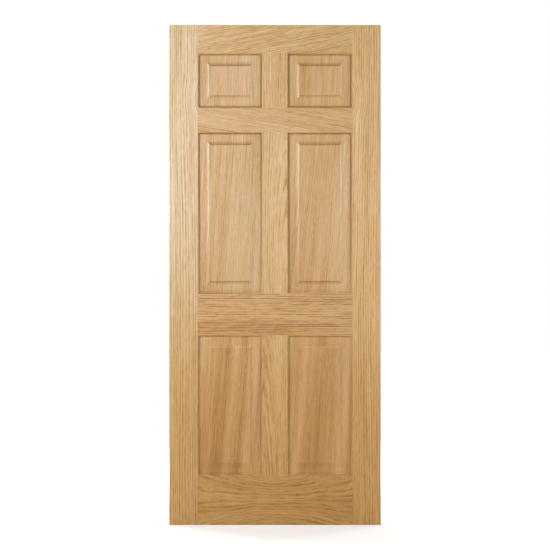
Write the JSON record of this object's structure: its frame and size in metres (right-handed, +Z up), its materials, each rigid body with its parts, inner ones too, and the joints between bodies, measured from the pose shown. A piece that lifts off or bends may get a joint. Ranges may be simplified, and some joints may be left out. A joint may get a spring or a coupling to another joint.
{
  "type": "six-panel interior door",
  "caption": "Panelled oak interior door leaf: moulded stiles, rails and muntins hold loose raised and fielded panels. It is hung on one long edge to close a doorway.",
  "frame": {"origin": "middle of the leaf's bottom edge, halfway through its thickness", "axes": "+Z up the leaf, +X across it to the right as seen from the front, front face towards -Y"},
  "size_m": [0.838, 0.035, 1.981],
  "materials": {
    "oak_stile": "clear satin lacquer, grain upright",
    "oak_rail": "clear satin lacquer, grain across",
    "oak_muntin": "clear satin lacquer, grain upright",
    "oak_panel": "clear satin lacquer, grain upright",
    "beech_dowel": "bare wood"
  },
  "bodies": {
    "root": {"left_stile": "oak_stile", "right_stile": "oak_stile", "top_rail": "oak_rail", "frieze_rail": "oak_rail", "lock_rail": "oak_rail", "bottom_rail": "oak_rail", "top_muntin": "oak_muntin", "middle_muntin": "oak_muntin", "bottom_muntin": "oak_muntin", "top_left_panel": "oak_panel", "top_right_panel": "oak_panel", "middle_left_panel": "oak_panel", "middle_right_panel": "oak_panel", "bottom_left_panel": "oak_panel", "bottom_right_panel": "oak_panel", "rail_dowels": "beech_dowel", "muntin_dowels": "beech_dowel"}
  },
  "joints": []
}
